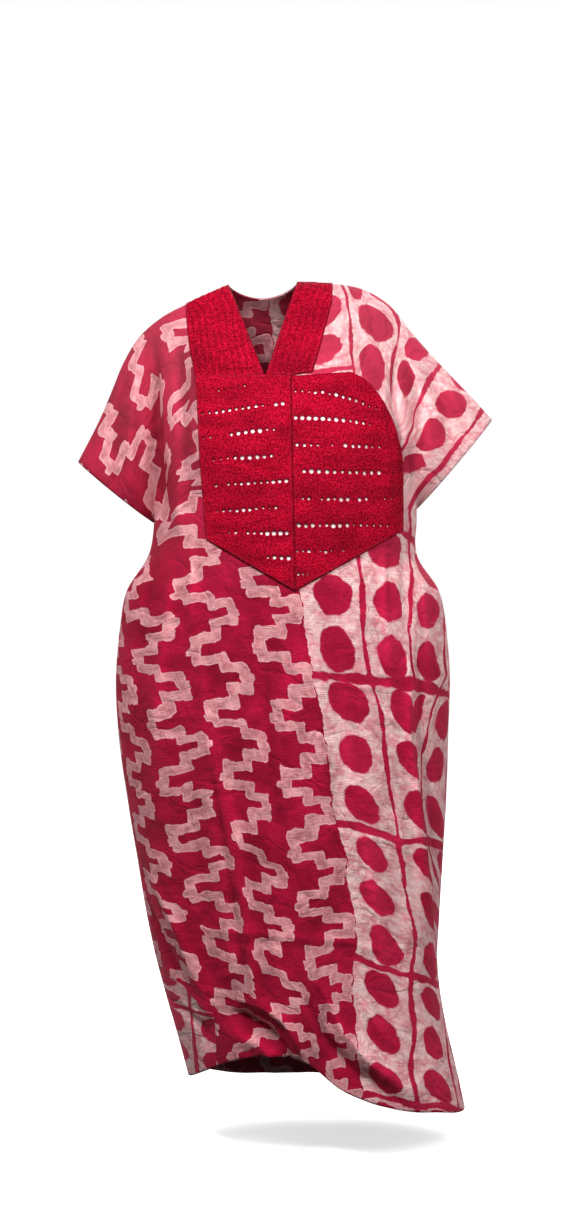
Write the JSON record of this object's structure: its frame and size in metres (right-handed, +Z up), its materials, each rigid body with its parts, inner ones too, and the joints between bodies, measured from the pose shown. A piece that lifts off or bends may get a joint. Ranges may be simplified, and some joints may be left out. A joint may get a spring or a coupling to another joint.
{
  "type": "grand boubou robe",
  "caption": "Full-length loose gown with short wide sleeves cut in one, V neck with woven bands, an eyelet yoke and side pockets, shown worn and hollow.",
  "frame": {"origin": "middle of the neck at shoulder height, where the wearer's shoulders hold the gown", "axes": "+Z up along the gown, the wearer faces -Y, and the wearer's left side is at +X"},
  "size_m": [0.69, 0.3713, 1.3871],
  "materials": {
    "adire_cotton": "plain-woven resist-dyed cotton, raspberry and pale pink, matt with a slight lustre",
    "aso_oke": "thick nubby hand-woven cloth, crimson, matt",
    "white_cotton": "plain white cotton, matt",
    "pocket_cotton": "plain raspberry cotton, matt"
  },
  "bodies": {
    "root": {"front": "adire_cotton", "back": "adire_cotton", "yoke_right": "aso_oke", "yoke_left": "aso_oke", "yoke_backing": "white_cotton", "neck_band_right": "aso_oke", "neck_band_left": "aso_oke", "neck_band_back": "aso_oke", "pocket_right": "pocket_cotton", "pocket_left": "pocket_cotton"}
  },
  "joints": []
}
